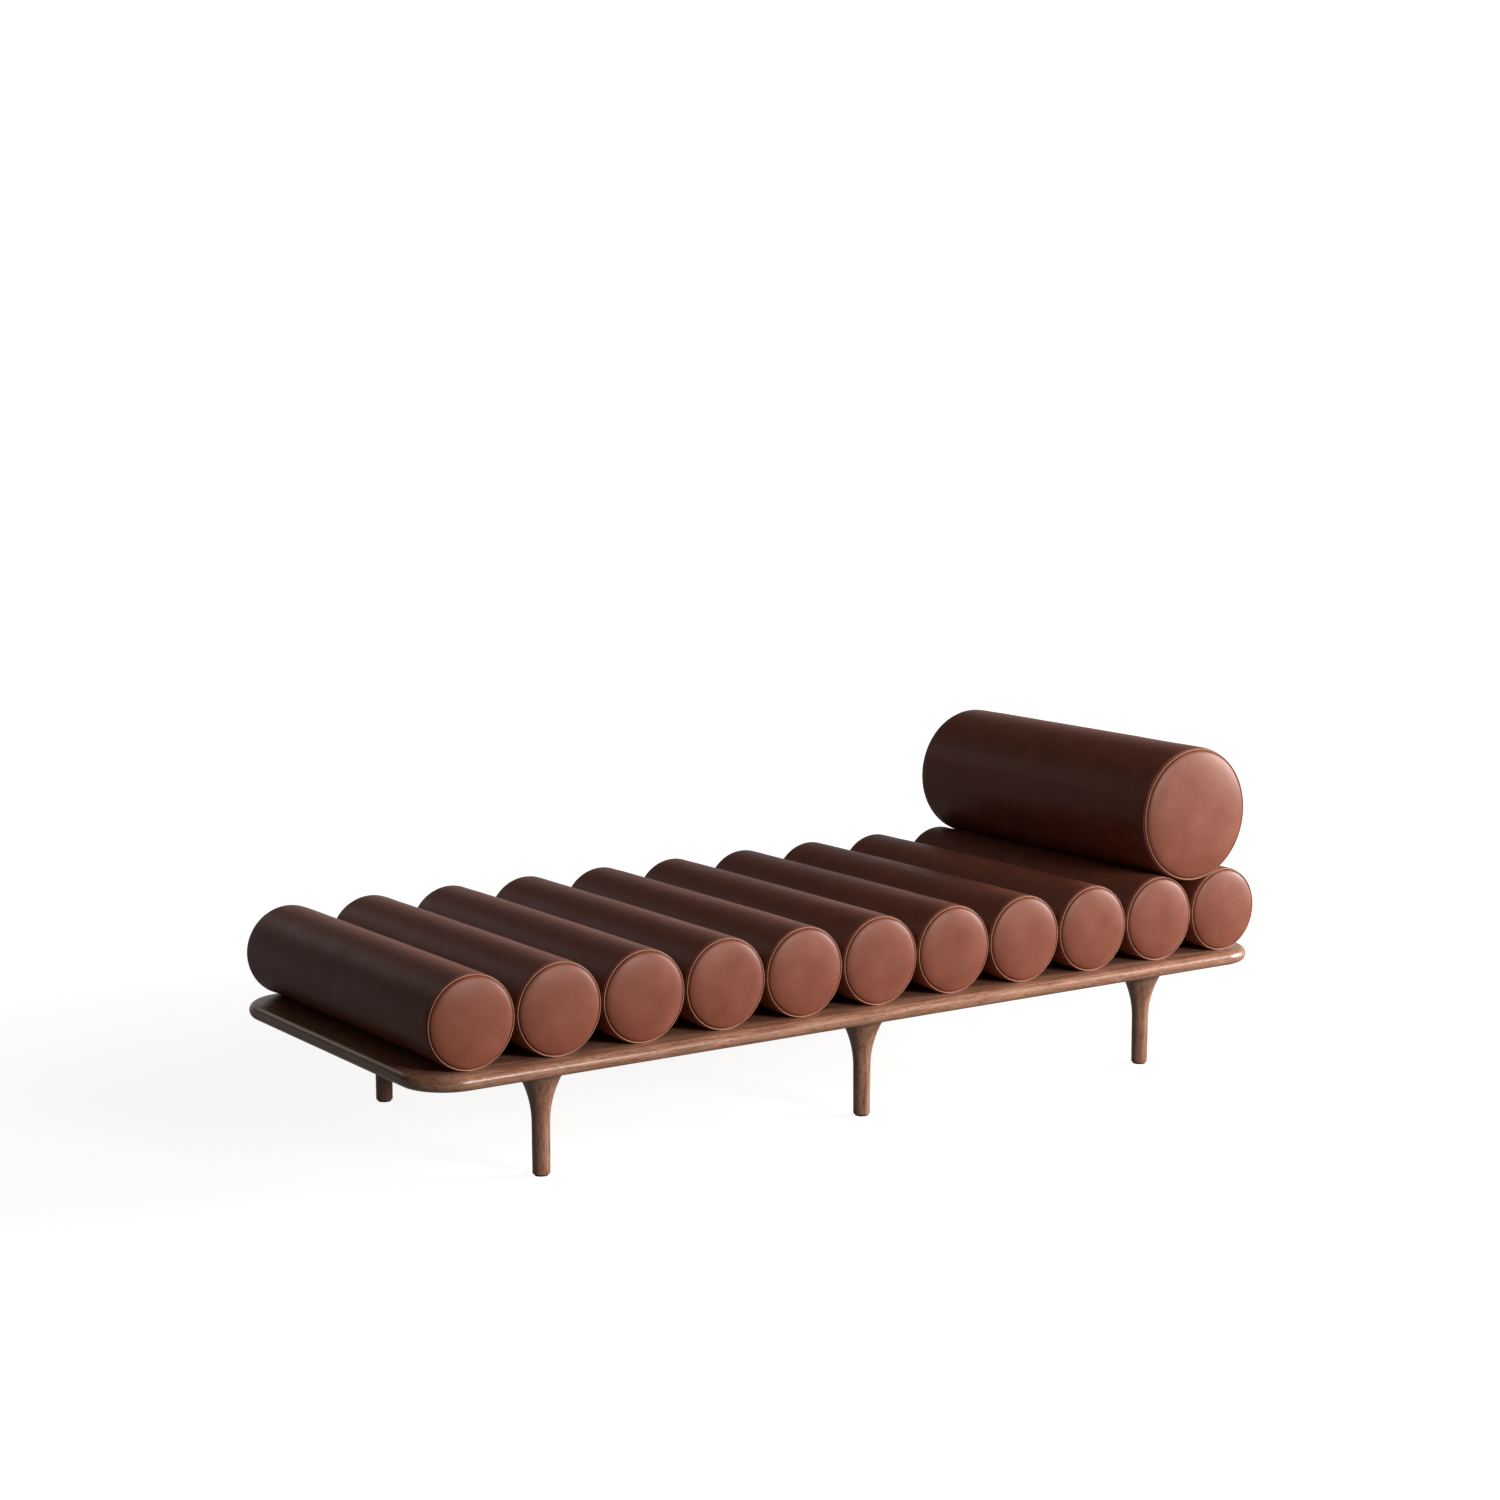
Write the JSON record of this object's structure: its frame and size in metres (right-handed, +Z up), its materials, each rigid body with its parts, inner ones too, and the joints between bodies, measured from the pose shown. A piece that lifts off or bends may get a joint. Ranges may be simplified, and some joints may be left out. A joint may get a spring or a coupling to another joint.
{
  "type": "backless divan",
  "caption": "Low backless daybed: a row of leather rolls across a thin walnut platform on turned flared legs, with a thicker loose leather bolster as headrest.",
  "frame": {"origin": "on the floor under the middle of the platform", "axes": "+X along the platform towards the end with the bolster, +Y from the pictured front to the back, +Z up"},
  "size_m": [2.004, 0.797, 0.6672],
  "materials": {
    "core_board": "veneered, satin lacquer",
    "walnut_lipping": "solid walnut, satin lacquer",
    "walnut_legs": "turned walnut, satin lacquer",
    "glide": "moulded nylon",
    "hook_tape": "woven hook tape",
    "loop_tape": "woven loop tape",
    "roll_leather": "smooth semi-aniline leather over foam",
    "bolster_leather": "smooth semi-aniline leather",
    "foam": "open-cell foam"
  },
  "bodies": {
    "divan": {"platform_core": "core_board", "lipping_right": "walnut_lipping", "lipping_back": "walnut_lipping", "lipping_left": "walnut_lipping", "lipping_front": "walnut_lipping", "lipping_corners": "walnut_lipping", "front_legs": "walnut_legs", "back_legs": "walnut_legs", "foot_glides": "glide", "hook_strips": "hook_tape", "loop_strips": "loop_tape", "roll_01": "roll_leather", "roll_02": "roll_leather", "roll_03": "roll_leather", "roll_04": "roll_leather", "roll_05": "roll_leather", "roll_06": "roll_leather", "roll_07": "roll_leather", "roll_08": "roll_leather", "roll_09": "roll_leather", "roll_10": "roll_leather", "roll_11": "roll_leather"},
    "bolster": {"bolster_cover": "bolster_leather", "bolster_foam": "foam"}
  },
  "joints": [
    {"name": "bolster_lift", "type": "slide", "parent": "divan", "child": "bolster", "axis": [0, 0, 1], "range_m": [0, 0.2]}
  ]
}
